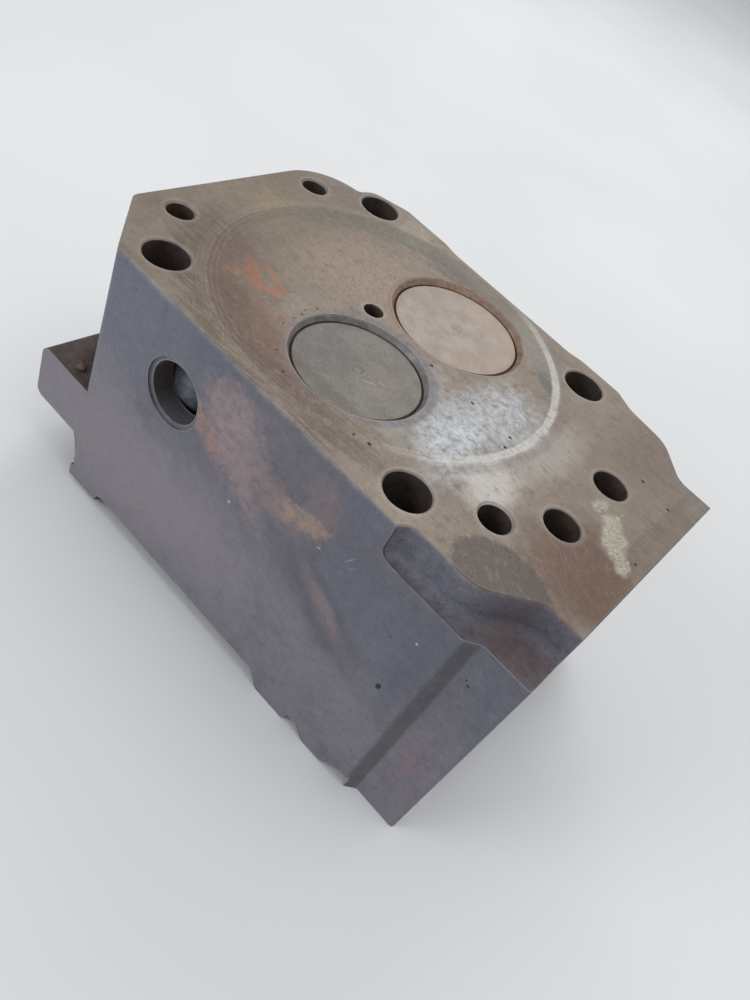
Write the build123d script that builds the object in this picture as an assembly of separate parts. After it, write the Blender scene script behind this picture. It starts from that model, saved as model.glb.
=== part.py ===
import os
from math import acos, cos, radians, sin, sqrt, tan

from build123d import *

# Individual cylinder head of a heavy diesel engine, lying on its cover side.
# Frame, in millimetres: the origin is the cylinder axis on the fire deck, +Z points out of the deck,
# +X towards the pushrod end, and the exhaust leaves through the -X end.

# ---- driving dimensions: outer shape ----
SIDE_Y = 70.3              # half width of the casting
PORT_END_X = -89.2         # exhaust end face
CHAMBER_END_X = -67.7      # wall of the rocker chamber under the exhaust end
PUSHROD_END_X = 123.0      # intake and pushrod end face
RIM_Z = -107.4             # cover gasket rim
FOOT_Z = -114.4            # underside of the bolt bosses, on which the head lies
POCKET_Z = -14.0           # ledge of the two corner pockets beside the deck
POCKET_FILLET = 4.0
EDGE_BREAK = 0.5           # chamfer along the deck's outer edge
FAR = 150.0                # beyond the casting on every side
STEP_X = (99.5, 104.5)     # slanted step in the side faces near the pushrod end
STEP_Y = 66.0              # half width past that step
RAIL_Z = (-65.5, -89.6)    # flange rail across the exhaust end
RAIL_X = -93.3
LUMP_X, LUMP_Y, LUMP_R, LUMP_TOP_Z = 83.0, 61.8, 8.0, -98.0
END_CORNER_R = 1.5         # upright corners at the pushrod end
CORNER_FOOT_X, CORNER_FOOT_Y = 100.5, 44.0
TRUNK_CORNER = 3.0         # cut corners beside the chamber's end wall

# The lumps under the rim where bosses reach the side faces, as (x, z, corner radius).
RIM_LUMPS = [(46.0, RIM_Z + 1, 0.5), (46.2, RIM_Z, 0.5), (52.0, FOOT_Z, 2.5), (66.8, FOOT_Z, 1.2),
             (68.6, -109.6, 1.2), (72.4, -109.4, 2), (78.4, FOOT_Z, 3), (88.0, -113.8, 3),
             (92.6, -109.4, 2), (99.0, RIM_Z, 0.5), (99.2, RIM_Z + 1, 0.5)]

# The feet beside the bolt bosses at the exhaust end, as (x, z, corner radius).
LEFT_FEET = [(-66.5, RIM_Z + 1, 0.5), (-66.3, FOOT_Z, 2), (-50.2, FOOT_Z, 2.5), (-48.8, RIM_Z - 1.5, 1),
             (-46.4, RIM_Z, 0.5), (-46.2, RIM_Z + 1, 0.5)]
FOOT_CHAMFER = 2.6

# The back side and the rounded back corner at the exhaust end, as (x, y, corner radius).
BACK_LEFT = [(48.0, SIDE_Y, 8), (42.0, 68.8, 8), (-22.0, 68.8, 8), (-29.0, SIDE_Y, 8),
             (-52.0, SIDE_Y, 8), (-67.8, 63.2, 8), (-69.2, 55.6, 3), (PORT_END_X, 49.0, 24)]

# ---- driving dimensions: holes in the deck ----
BOLT_X, BOLT_Y, BOLT_R = 57.5, 56.75, 8.2
BOLT_BOSS_R = 11.5
WATER_HOLES = [(-77.0, -35.2, 5.1), (-77.0, 35.2, 5.1), (79.6, -37.8, 5.9)]
PUSHROD_X, PUSHROD_Y, PUSHROD_R = 94.0, 17.5, 6.8
INJECTOR = (-8.4, -1.2)
NOZZLE_R = 3.9
CLAMP_REACH = 26.0         # injector clamp hole, from the injector's axis
BOLT_CHAMFER, WATER_CHAMFER, PUSHROD_CHAMFER = 0.5, 0.8, 0.4

# ---- driving dimensions: inside ----
DECK_T = 12.0              # deck plate
JACKET_FLOOR_Z = -54.0
CHAMBER_FLOOR_Z = -64.0
SPRING_PAD_Z = -66.0
PEDESTAL_Z = -80.0         # rocker pedestal and injector boss
BOSS_FLARE = 2.0
PORT_Z = -40.0             # centre of both ports
PORT_WALL = 5.0
WALL = 12.0                # walls round the rocker chamber
SEAT_WALL, SEAT_WALL_DEPTH = 3.0, 4.0   # iron beside and under the seat inserts, in the jacket
GUIDE_WALL = 5.0
PUSHROD_WALL = 4.0
SLEEVE_WALL = 4.5
STUD_BOSS_R, STUD_BOSS_LENGTH = 9.0, 27.0
CLAMP_BOSS_R = 9.0
SLEEVE_BOSS_WALL = 3.0
BRACKET_PAD = 13.0         # half size of the pedestal round each bracket screw
SPRING_PAD_R = 20.2

# ---- driving dimensions: valve gear ----
VALVE_X, VALVE_Y = 10.7, 29.3
HEAD_R = {"exhaust": 23.5, "intake": 25.3}
SEAT_R = {"exhaust": 25.6, "intake": 27.8}
THROAT_R = {"exhaust": 19.4, "intake": 21.3}
SIDE = {"exhaust": -1, "intake": 1}
RECESS = 1.8               # valve faces below the deck
MARGIN = 1.8               # cylindrical rim of a valve head
SEAT_DEPTH = 9.0
SEAT_RING_GAP = 0.6        # radial gap round a valve's rim
SEAT_GAP = 0.15            # axial gap between valve face and seat, both at 45 degrees
STEM_R = 5.0
GUIDE_R = 8.0
GUIDE_BORE_R = 5.04
GUIDE_NECK_R = 6.5
GUIDE_Z = (-33.0, -80.0)
SEAL_Z = (-74.0, -83.5)
TIP_Z = -112.0
SPRING_SEAT_Z = -68.0
SPRING_END_Z = -104.0
INNER_END_Z = -101.5
COLLET_Z = (-98.0, -108.6)
GROOVE_Z = (-101.5, -103.5)
COLLET_R = (6.55, 8.4)     # cone between the collets and the retainer
OUTER_SPRING = {"mean_r": 16.0, "wire_r": 2.1, "turns": 4.8}
INNER_SPRING = {"mean_r": 10.8, "wire_r": 1.35, "turns": 6.6}

# ---- driving dimensions: plugs and sleeve ----
CORE_R = 11.3
CORE_X, CORE_Z = -26.5, -31.0
SIDE_CORE_DEPTH, END_CORE_DEPTH = 10.0, 19.0
PLUG_LENGTH = 8.0
CORE_RIM, CORE_RIM_DEPTH = 1.7, 1.0     # spot face round the core holes in the sides
PORT_BULGE = (-32.5, -46.8, -37.7)      # rounded wall of the exhaust port behind the front core hole
PORT_BULGE_R = 14.0
FLOOR_CORES = [(-34.0, 30.0), (84.0, -41.0)]
END_CORE = (-30.0, -36.0)  # Y and Z of the core hole in the pushrod end
SLEEVE_R = 9.5
SLEEVE_BORE_R = 8.0
SLEEVE_HEAD_R = 11.2
SLEEVE_Z = (-13.0, -82.0)
SLEEVE_HEAD_Z = -72.0

# ---- driving dimensions: tapped holes ----
M10_DRILL_R = 4.25
M8_DRILL_R = 3.4
CLAMP_DEPTH, BRACKET_DEPTH, EXHAUST_DEPTH, INTAKE_DEPTH, COVER_DEPTH = 22.0, 24.0, 21.0, 12.0, 16.0
EXHAUST_STUD_Y = 25.0
INTAKE_Y = 42.8
INTAKE_STUDS = (16.0, 20.0)
COVER_HOLE_X = 10.0
BRACKET_X, BRACKET_Y = 52.0, 22.0


# ---------------------------------------------------------------- helpers

def rounded_polygon(corners):
    """A face inside straight sides whose corners (x, y, radius) are tangent arcs."""
    arcs = []
    for i, (x, y, radius) in enumerate(corners):
        corner = Vector(x, y)
        before = Vector(*corners[i - 1][:2])
        after = Vector(*corners[(i + 1) % len(corners)][:2])
        u = (before - corner).normalized()
        v = (after - corner).normalized()
        half = acos(max(-1.0, min(1.0, u.dot(v)))) / 2
        reach = radius / tan(half)
        middle = corner + (u + v).normalized() * (radius / sin(half) - radius)
        arcs.append((corner + u * reach, middle, corner + v * reach))
    edges = []
    for i, (start, middle, end) in enumerate(arcs):
        edges.append(ThreePointArc(start, middle, end))
        edges.append(Line(end, arcs[(i + 1) % len(arcs)][0]))
    return make_face(edges)


def mirrored(corners):
    """The corners, then the same corners reflected in the XZ plane in reverse order."""
    return corners + [(x, -y, radius) for x, y, radius in reversed(corners)]


def prism(face, top, bottom):
    """The face of the XY plane as a solid between two heights."""
    return Pos(0, 0, bottom) * extrude(face, amount=top - bottom, dir=(0, 0, 1))


def rod(x, y, radius, top, bottom):
    """An upright cylinder between two heights."""
    return Pos(x, y, (top + bottom) / 2) * Cylinder(radius, top - bottom)


def block(low, high):
    """A box between two corners."""
    size = [b - a for a, b in zip(low, high)]
    middle = [(a + b) / 2 for a, b in zip(low, high)]
    return Pos(*middle) * Box(*size)


def level_rod(centre, radius, length, along):
    """A lying cylinder that starts at the centre and runs along a horizontal direction."""
    return Plane(origin=centre, z_dir=along) * Pos(0, 0, length / 2) * Cylinder(radius, length)


def turned(profile, x, y):
    """A closed (radius, z) profile turned about the upright axis through (x, y)."""
    points = [(r, 0, z) for r, z in profile]
    face = make_face(Polyline(*points, close=True))
    return Pos(x, y, 0) * revolve(face, Axis.Z)


# ---------------------------------------------------------------- casting: outside

def pocket_plate():
    """A wide plate that steps down at the two corner pockets, with a fillet along the ledges."""
    upper = rounded_polygon([
        (-FAR, -FAR, 1), (13.7, -FAR, 1), (67.6, -65.6, 4.5), (93.0, -65.6, 14), (109.3, -49.6, 9),
        (FAR, -49.6, 1), (FAR, 50.2, 1), (108.6, 50.2, 8), (94.5, 64.0, 14), (76.0, 66.2, 10),
        (-95.4, FAR, 1), (-FAR, FAR, 1),
    ])
    plate = prism(upper, 0, POCKET_Z) + block((-2 * FAR, -2 * FAR, RAIL_Z[0]), (2 * FAR, 2 * FAR, POCKET_Z))
    inner = [edge for edge in plate.edges() if abs(edge.center().Z - POCKET_Z) < 0.01]
    inner = [edge for edge in inner if abs(edge.center().X) < FAR + 1 and abs(edge.center().Y) < FAR + 1]
    return fillet(inner, POCKET_FILLET)


def trunk_outline():
    """The body below the corner pockets, from the chamber's end wall to the pushrod end."""
    return rounded_polygon(mirrored([
        (CHAMBER_END_X, -SIDE_Y + TRUNK_CORNER, 3), (CHAMBER_END_X + TRUNK_CORNER, -SIDE_Y, 2.5),
        (STEP_X[0], -SIDE_Y, 2), (STEP_X[1], -STEP_Y, 2), (PUSHROD_END_X, -STEP_Y, END_CORNER_R),
    ]))


def exhaust_rail():
    """The flange rail across the exhaust end and the flared wall under it."""
    top, bottom = RAIL_Z
    rail = block((RAIL_X, -SIDE_Y, bottom), (CHAMBER_END_X + 4, SIDE_Y, top))
    outer = rail.edges().filter_by(Axis.Y).group_by(Axis.X)[0]
    rail = fillet(outer, 3.5)
    flare = Plane.XZ * make_face(Polyline(
        (-72.8, bottom), (-69.6, -97.5), (CHAMBER_END_X - 0.2, -103.0), (CHAMBER_END_X, RIM_Z),
        (CHAMBER_END_X + 4, RIM_Z), (CHAMBER_END_X + 4, bottom), close=True))
    return rail + extrude(flare, amount=SIDE_Y - 2.5, both=True)


def side_lumps(corners, side):
    """A side view outline as a solid between a row of bolt bosses and that side face."""
    inner_y = BOLT_Y + 5.0
    upright = Plane(origin=(0, side * inner_y, 0), x_dir=(1, 0, 0), z_dir=(0, -1, 0))
    return extrude(upright * rounded_polygon(corners), amount=SIDE_Y - inner_y, dir=(0, side, 0))


def foot_wedge(side):
    """What the chamfer under the feet at the exhaust end takes off."""
    reach = FOOT_CHAMFER + 1
    face = make_face(Polyline(
        (-FAR, side * (SIDE_Y + 1), FOOT_Z + reach), (-FAR, side * (SIDE_Y + 1), FOOT_Z - 1),
        (-FAR, side * (SIDE_Y - reach), FOOT_Z - 1), close=True))
    return extrude(face, amount=2 * FAR, dir=(1, 0, 0))


def outer_body():
    """The casting as a solid lump, before any hollow is made."""
    body = pocket_plate() & prism(upper_trunk(), 1, RAIL_Z[0])
    deck = body.faces().sort_by(Axis.Z)[-1]
    body = chamfer(deck.outer_wire().edges(), EDGE_BREAK)
    trunk = trunk_outline()
    underneath = prism(trunk, RIM_Z, FOOT_Z)
    body += prism(trunk, RAIL_Z[0], RIM_Z)
    body += exhaust_rail()
    for x in (-BOLT_X, BOLT_X):
        for y in (-BOLT_Y, BOLT_Y):
            body += rod(x, y, BOLT_BOSS_R, RAIL_Z[0], FOOT_Z)
    for side in (-1, 1):
        body += rod(LUMP_X, side * LUMP_Y, LUMP_R, LUMP_TOP_Z, FOOT_Z)
        body += side_lumps(RIM_LUMPS, side)
        body += side_lumps(LEFT_FEET, side) - foot_wedge(side)
        low_y, high_y = sorted((side * CORNER_FOOT_Y, side * SIDE_Y))
        corner = block((CORNER_FOOT_X, low_y, FOOT_Z), (PUSHROD_END_X, high_y, RIM_Z))
        body += underneath & corner
    return body


def upper_trunk():
    """The body between the corner pockets and the rail, following the deck at the exhaust end."""
    return rounded_polygon([
        (PORT_END_X, -46.4, 4), (-65.6, -SIDE_Y, 3),
        (STEP_X[0], -SIDE_Y, 2), (STEP_X[1], -STEP_Y, 2), (PUSHROD_END_X, -STEP_Y, END_CORNER_R),
        (PUSHROD_END_X, STEP_Y, END_CORNER_R), (STEP_X[1], STEP_Y, 2), (STEP_X[0], SIDE_Y, 2),
    ] + BACK_LEFT)


# ---------------------------------------------------------------- casting: inside

def shifted_path(x0, x1, y0, shift, end_x):
    """A level path that runs along X at y0 and moves sideways by shift between x0 and x1."""
    length = abs(x1 - x0)
    way = 1 if x1 > x0 else -1
    half = shift / length
    angle = 2 * abs(half) / (1 + half * half)
    radius = length / 2 / angle
    middle = ((x0 + x1) / 2, y0 + shift / 2)
    rise = radius - sqrt(radius * radius - (length / 4) ** 2)
    sign = 1 if shift > 0 else -1
    first = (x0 + way * length / 4, y0 + sign * rise)
    second = (x1 - way * length / 4, y0 + shift - sign * rise)
    return Wire([
        Line((VALVE_X, y0, PORT_Z), (x0, y0, PORT_Z)),
        ThreePointArc((x0, y0, PORT_Z), (*first, PORT_Z), (*middle, PORT_Z)),
        ThreePointArc((*middle, PORT_Z), (*second, PORT_Z), (x1, y0 + shift, PORT_Z)),
        Line((x1, y0 + shift, PORT_Z), (end_x, y0 + shift, PORT_Z)),
    ])


def duct(name, extra, end_x):
    """A port runner of oval section from the valve bowl to the casting's end."""
    if name == "exhaust":
        path = shifted_path(-14.0, -72.0, -VALVE_Y, VALVE_Y, end_x)
        half_width, half_height = 14.0, 17.0
    else:
        path = shifted_path(53.0, 94.0, VALVE_Y, INTAKE_Y - VALVE_Y, end_x)
        half_width, half_height = 15.0, 18.0
    start = Plane(origin=path @ 0, x_dir=(0, 1, 0), z_dir=path % 0)
    section = start * Ellipse(half_width + extra, half_height + extra)
    return sweep(section, path=path)


def bowl(name, extra, top):
    """The space under a valve: a cone below the seat that ends in a half sphere."""
    y = SIDE[name] * VALVE_Y
    throat = THROAT_R[name] + extra
    round_r = throat - 2.0
    cone = Pos(VALVE_X, y, (top + PORT_Z) / 2) * Cone(round_r, throat, top - PORT_Z)
    return cone + Pos(VALVE_X, y, PORT_Z) * Sphere(round_r)


def jacket():
    """The water space between the deck and the chamber floor."""
    space = prism(rounded_polygon(mirrored([
        (-80.6, -41.0, 6), (-62.0, -60.8, 6), (60.0, -60.8, 5), (64.0, -57.5, 5),
        (89.0, -57.5, 8), (102.0, -44.5, 8), (107.5, -44.5, 3),
    ])), -DECK_T, JACKET_FLOOR_Z)
    for name in ("exhaust", "intake"):
        end_x = PORT_END_X - 1 if name == "exhaust" else PUSHROD_END_X + 1
        y = SIDE[name] * VALVE_Y
        space -= duct(name, PORT_WALL, end_x)
        space -= bowl(name, PORT_WALL, -DECK_T + 1)
        space -= rod(VALVE_X, y, SEAT_R[name] + SEAT_WALL, 0, -SEAT_DEPTH - SEAT_WALL_DEPTH)
        space -= rod(VALVE_X, y, GUIDE_R + GUIDE_WALL, GUIDE_Z[0] + 3, CHAMBER_FLOOR_Z)
    for x in (-BOLT_X, BOLT_X):
        for y in (-BOLT_Y, BOLT_Y):
            space -= rod(x, y, BOLT_BOSS_R, 0, CHAMBER_FLOOR_Z)
    for y in (-PUSHROD_Y, PUSHROD_Y):
        space -= rod(PUSHROD_X, y, PUSHROD_R + PUSHROD_WALL, 0, CHAMBER_FLOOR_Z)
    for y in (-EXHAUST_STUD_Y, EXHAUST_STUD_Y):
        space -= level_rod((PORT_END_X, y, PORT_Z), STUD_BOSS_R, STUD_BOSS_LENGTH, (1, 0, 0))
    space -= rod(*INJECTOR, SLEEVE_R + SLEEVE_WALL, 0, CHAMBER_FLOOR_Z)
    return space - Pos(*PORT_BULGE) * Sphere(PORT_BULGE_R)


def floor_boss(x, y, radius):
    """A round boss on the chamber floor, flared at its foot."""
    flare = Pos(x, y, CHAMBER_FLOOR_Z - BOSS_FLARE / 2) * Cone(radius, radius + BOSS_FLARE, BOSS_FLARE)
    return rod(x, y, radius, CHAMBER_FLOOR_Z, PEDESTAL_Z) + flare


def chamber():
    """The rocker chamber, open to the cover side, with its columns and pads left standing."""
    space = prism(rounded_polygon(mirrored([
        (CHAMBER_END_X + WALL, -SIDE_Y + WALL, 10), (PUSHROD_END_X - WALL, -SIDE_Y + WALL, 10),
    ])), CHAMBER_FLOOR_Z, FOOT_Z - 1)
    for x in (-BOLT_X, BOLT_X):
        for y in (-BOLT_Y, BOLT_Y):
            space -= rod(x, y, BOLT_BOSS_R, CHAMBER_FLOOR_Z, FOOT_Z - 1)
    space -= floor_boss(*INJECTOR, SLEEVE_HEAD_R + SLEEVE_BOSS_WALL)
    space -= floor_boss(INJECTOR[0] - CLAMP_REACH, INJECTOR[1], CLAMP_BOSS_R)
    space -= prism(rounded_polygon(mirrored([
        (BRACKET_X - BRACKET_PAD, -BRACKET_Y - BRACKET_PAD, 8),
        (BRACKET_X + BRACKET_PAD, -BRACKET_Y - BRACKET_PAD, 8),
    ])), CHAMBER_FLOOR_Z, PEDESTAL_Z)
    for side in (-1, 1):
        space -= rod(LUMP_X, side * LUMP_Y, LUMP_R, LUMP_TOP_Z, FOOT_Z - 1)
        space -= rod(VALVE_X, side * VALVE_Y, SPRING_PAD_R, CHAMBER_FLOOR_Z, SPRING_PAD_Z)
    return space


def deck_hole(x, y, radius, bottom, edge):
    """An upright hole from the deck with a chamfered mouth."""
    mouth = Pos(x, y, 0) * Cone(radius, radius + 2 * edge, 2 * edge)
    return rod(x, y, radius, 1, bottom) + mouth


def drilled_holes():
    """Every hole that is drilled or bored in the casting."""
    cuts = []
    for x in (-BOLT_X, BOLT_X):
        for y in (-BOLT_Y, BOLT_Y):
            cuts.append(deck_hole(x, y, BOLT_R, FOOT_Z - 1, BOLT_CHAMFER))
    for x, y, radius in WATER_HOLES:
        cuts.append(deck_hole(x, y, radius, -DECK_T - 3, WATER_CHAMFER))
    for y in (-PUSHROD_Y, PUSHROD_Y):
        cuts.append(deck_hole(PUSHROD_X, y, PUSHROD_R, CHAMBER_FLOOR_Z - 1, PUSHROD_CHAMFER))
    for name in ("exhaust", "intake"):
        y = SIDE[name] * VALVE_Y
        end_x = PORT_END_X - 1 if name == "exhaust" else PUSHROD_END_X + 1
        cuts.append(duct(name, 0.0, end_x))
        cuts.append(bowl(name, 0.0, -SEAT_DEPTH))
        cuts.append(rod(VALVE_X, y, SEAT_R[name], 1, -SEAT_DEPTH))
        cuts.append(rod(VALVE_X, y, GUIDE_R, PORT_Z, SPRING_PAD_Z - 1))
    cuts.append(rod(*INJECTOR, NOZZLE_R, 1, SLEEVE_Z[0] - 0.5))
    cuts.append(rod(*INJECTOR, SLEEVE_R, SLEEVE_Z[0], PEDESTAL_Z - 1))
    cuts.append(rod(*INJECTOR, SLEEVE_HEAD_R, SLEEVE_HEAD_Z, PEDESTAL_Z - 1))
    clamp_x = INJECTOR[0] - CLAMP_REACH
    cuts.append(rod(clamp_x, INJECTOR[1], M10_DRILL_R, PEDESTAL_Z + CLAMP_DEPTH, PEDESTAL_Z - 1))
    for y in (-BRACKET_Y, BRACKET_Y):
        cuts.append(rod(BRACKET_X, y, M10_DRILL_R, PEDESTAL_Z + BRACKET_DEPTH, PEDESTAL_Z - 1))
    for y in (-EXHAUST_STUD_Y, EXHAUST_STUD_Y):
        cuts.append(level_rod((PORT_END_X - 1, y, PORT_Z), M10_DRILL_R, EXHAUST_DEPTH + 1, (1, 0, 0)))
    for dy in (-INTAKE_STUDS[0], INTAKE_STUDS[0]):
        for dz in (-INTAKE_STUDS[1], INTAKE_STUDS[1]):
            mouth = (PUSHROD_END_X + 1, INTAKE_Y + dy, PORT_Z + dz)
            cuts.append(level_rod(mouth, M8_DRILL_R, INTAKE_DEPTH + 1, (-1, 0, 0)))
    for side in (-1, 1):
        cuts.append(rod(COVER_HOLE_X, side * (SIDE_Y - WALL / 2), M8_DRILL_R, RIM_Z + COVER_DEPTH, RIM_Z - 1))
    return cuts + core_holes()


def core_holes():
    """The core holes of the water jacket; those in the sides have a spot face."""
    cuts = []
    for side in (-1, 1):
        mouth = (CORE_X, side * (SIDE_Y + 1), CORE_Z)
        cuts.append(level_rod(mouth, CORE_R, SIDE_CORE_DEPTH + 1, (0, -side, 0)))
        cuts.append(level_rod(mouth, CORE_R + CORE_RIM, CORE_RIM_DEPTH + 1, (0, -side, 0)))
    cuts.append(level_rod((PUSHROD_END_X + 1, *END_CORE), CORE_R, END_CORE_DEPTH + 1, (-1, 0, 0)))
    for x, y in FLOOR_CORES:
        cuts.append(rod(x, y, CORE_R, JACKET_FLOOR_Z + 1, CHAMBER_FLOOR_Z - 1))
    return cuts


def head_casting():
    """The iron casting with its hollows, holes and broken edges."""
    body = outer_body() - chamber() - jacket()
    for cut in drilled_holes():
        body -= cut
    return body


# ---------------------------------------------------------------- valve gear

def seat_insert(name):
    """A pressed ring with a bevel down from the deck, a 45 degree seat and the throat."""
    outer, throat, bore = SEAT_R[name], THROAT_R[name], HEAD_R[name] + SEAT_RING_GAP
    seat_top_z = -RECESS - MARGIN - SEAT_GAP
    return turned([
        (outer, -0.2), (outer - 0.4, -0.2), (bore, -RECESS), (bore, seat_top_z + SEAT_RING_GAP),
        (throat, seat_top_z + SEAT_RING_GAP - (bore - throat)), (throat, -SEAT_DEPTH), (outer, -SEAT_DEPTH),
    ], VALVE_X, SIDE[name] * VALVE_Y)


def valve(name):
    """Disc head with a dimple, tulip neck, ground stem and the collet groove."""
    head = HEAD_R[name]
    face_z = -RECESS
    margin_z = face_z - MARGIN
    cone_r = THROAT_R[name] - 0.6
    cone_z = margin_z - (head - cone_r)
    neck = []
    neck_top, neck_r = cone_z - 1.0, cone_r - 2.2
    steps = 8
    for i in range(steps + 1):
        angle = radians(90.0 * i / steps)
        neck.append((STEM_R + (neck_r - STEM_R) * (1 - sin(angle)), neck_top - 13.0 * (1 - cos(angle))))
    groove_top, groove_bottom = GROOVE_Z
    groove_r = STEM_R - 0.8
    return turned([
        (0, face_z - 0.35), (1.2, face_z - 0.35), (2.4, face_z), (head - 0.4, face_z),
        (head, face_z - 0.4), (head, margin_z), (cone_r, cone_z), *neck,
        (STEM_R, groove_top), (groove_r, groove_top - 0.3), (groove_r, groove_bottom + 0.3),
        (STEM_R, groove_bottom), (STEM_R, TIP_Z + 0.8), (STEM_R - 0.8, TIP_Z), (0, TIP_Z),
    ], VALVE_X, SIDE[name] * VALVE_Y)


def valve_guide(name):
    """A pressed tube with a tapered port end and a narrow neck for the stem seal."""
    top, bottom = GUIDE_Z
    return turned([
        (GUIDE_BORE_R, top), (GUIDE_R - 1.6, top), (GUIDE_R, top - 5.0), (GUIDE_R, SEAL_Z[0] + 1.0),
        (GUIDE_NECK_R, SEAL_Z[0] + 1.0), (GUIDE_NECK_R, bottom), (GUIDE_BORE_R, bottom),
    ], VALVE_X, SIDE[name] * VALVE_Y)


def stem_seal(name):
    """A rubber cap that grips the guide's neck, with a lip round the stem."""
    top, bottom = SEAL_Z
    lip_r = STEM_R + 0.08
    return turned([
        (GUIDE_NECK_R, top), (9.0, top), (9.0, -79.0), (7.6, -80.0), (7.6, -81.0), (7.0, -81.3),
        (7.0, -82.3), (7.6, -82.6), (7.4, bottom), (lip_r, bottom), (lip_r, bottom + 1.0),
        (lip_r + 0.5, -80.2), (GUIDE_NECK_R, -80.2),
    ], VALVE_X, SIDE[name] * VALVE_Y)


def garter_spring(name):
    """The wire ring in the groove of a stem seal."""
    ring = Torus(7.65, 0.5)
    return Pos(VALVE_X, SIDE[name] * VALVE_Y, -81.8) * ring


def spring_seat(name):
    """A steel washer under the springs with a collar inside the inner spring."""
    return turned([
        (GUIDE_R + 0.3, SPRING_PAD_Z), (19.2, SPRING_PAD_Z), (19.2, SPRING_SEAT_Z),
        (9.2, SPRING_SEAT_Z), (9.2, SPRING_SEAT_Z - 3.0), (GUIDE_R + 0.3, SPRING_SEAT_Z - 3.0),
    ], VALVE_X, SIDE[name] * VALVE_Y)


def coil_spring(name, size, end_z, lefthand):
    """A compression spring between the spring seat and the retainer."""
    wire_r = size["wire_r"]
    length = SPRING_SEAT_Z - end_z - 2 * wire_r - 0.1
    start_z = end_z + wire_r + 0.05
    helix = Helix(length / size["turns"], length, size["mean_r"], lefthand=lefthand)
    section = Plane(origin=helix @ 0, z_dir=helix % 0) * Circle(wire_r)
    return Pos(VALVE_X, SIDE[name] * VALVE_Y, start_z) * sweep(section, path=helix, is_frenet=True)


def spring_retainer(name):
    """The disc that holds both springs, with a taper for the collets."""
    top, bottom = COLLET_Z
    return turned([
        (COLLET_R[0], top), (9.0, top), (9.0, INNER_END_Z), (13.4, INNER_END_Z), (13.4, SPRING_END_Z),
        (19.6, SPRING_END_Z), (19.6, -106.4), (18.8, -107.2), (10.8, -107.2), (10.8, bottom),
        (COLLET_R[1], bottom),
    ], VALVE_X, SIDE[name] * VALVE_Y)


def collets(name):
    """Two half cones with a bead in the stem's groove, with a slit between them."""
    gap = 0.03
    top, bottom = COLLET_Z
    bead_r = STEM_R - 0.6
    cone = turned([
        (STEM_R + gap, top), (COLLET_R[0] - gap, top), (COLLET_R[1] - gap, bottom),
        (STEM_R + gap, bottom), (STEM_R + gap, GROOVE_Z[1] + 0.1), (bead_r, GROOVE_Z[1] + 0.4),
        (bead_r, GROOVE_Z[0] - 0.4), (STEM_R + gap, GROOVE_Z[0] - 0.1),
    ], VALVE_X, SIDE[name] * VALVE_Y)
    y = SIDE[name] * VALVE_Y
    return cone - block((VALVE_X - 12, y - 0.5, bottom - 1), (VALVE_X + 12, y + 0.5, top + 1))


# ---------------------------------------------------------------- sleeve and plugs

def injector_sleeve():
    """The stepped tube that the injector stands in, with its cone at the nozzle."""
    top, bottom = SLEEVE_Z
    return turned([
        (NOZZLE_R + 0.1, top), (SLEEVE_R, top), (SLEEVE_R, SLEEVE_HEAD_Z),
        (SLEEVE_HEAD_R, SLEEVE_HEAD_Z), (SLEEVE_HEAD_R, -75.0), (SLEEVE_HEAD_R - 1.6, -75.0),
        (SLEEVE_HEAD_R - 1.6, -77.6), (SLEEVE_HEAD_R, -77.6), (SLEEVE_HEAD_R, bottom + 0.6),
        (SLEEVE_HEAD_R - 0.6, bottom), (SLEEVE_BORE_R + 0.6, bottom), (SLEEVE_BORE_R, bottom + 0.6),
        (SLEEVE_BORE_R, -19.5), (NOZZLE_R + 0.1, -16.5),
    ], *INJECTOR)


def sleeve_seal_ring():
    """The rubber ring in the groove of the sleeve's head."""
    return Pos(*INJECTOR, -76.3) * Torus(SLEEVE_HEAD_R - 0.75, 0.75)


def core_plug(mouth, inward, depth):
    """A pressed steel cup, closed towards the water, set back in its hole."""
    wall = CORE_R - 1.5
    cup = turned([(0, 0), (CORE_R - 1.2, 0), (CORE_R, 1.2), (CORE_R, PLUG_LENGTH), (wall, PLUG_LENGTH),
                  (wall, 1.8), (0, 1.8)], 0, 0)
    back = Vector(*mouth) + Vector(*inward) * (depth + PLUG_LENGTH)
    return Plane(origin=back, z_dir=Vector(*inward) * -1) * cup


def floor_core_plugs():
    """The two cups in the chamber floor."""
    cups = [core_plug((x, y, CHAMBER_FLOOR_Z), (0, 0, 1), 0.8) for x, y in FLOOR_CORES]
    return Compound(children=cups)


# ---------------------------------------------------------------- files

def write(shape, node):
    export_step(shape, "parts/" + node + ".step")


os.makedirs("parts", exist_ok=True)
write(head_casting(), "head_casting")
for valve_name in ("exhaust", "intake"):
    write(seat_insert(valve_name), valve_name + "_seat_insert")
    write(valve_guide(valve_name), valve_name + "_valve_guide")
    write(stem_seal(valve_name), valve_name + "_stem_seal")
    write(garter_spring(valve_name), valve_name + "_garter_spring")
    write(spring_seat(valve_name), valve_name + "_spring_seat")
    write(coil_spring(valve_name, OUTER_SPRING, SPRING_END_Z, False), valve_name + "_outer_spring")
    write(coil_spring(valve_name, INNER_SPRING, INNER_END_Z, True), valve_name + "_inner_spring")
    write(valve(valve_name), valve_name + "_valve")
    write(spring_retainer(valve_name), valve_name + "_spring_retainer")
    write(collets(valve_name), valve_name + "_collets")
write(injector_sleeve(), "injector_sleeve")
write(sleeve_seal_ring(), "sleeve_seal_ring")
write(core_plug((CORE_X, SIDE_Y, CORE_Z), (0, -1, 0), 1.4), "back_core_plug")
write(core_plug((PUSHROD_END_X, *END_CORE), (-1, 0, 0), 1.5), "end_core_plug")
write(floor_core_plugs(), "floor_core_plugs")
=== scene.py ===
"""Looks of the cylinder head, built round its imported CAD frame.

Lengths are in metres. Points inside materials are in millimetres.
"""

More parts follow.
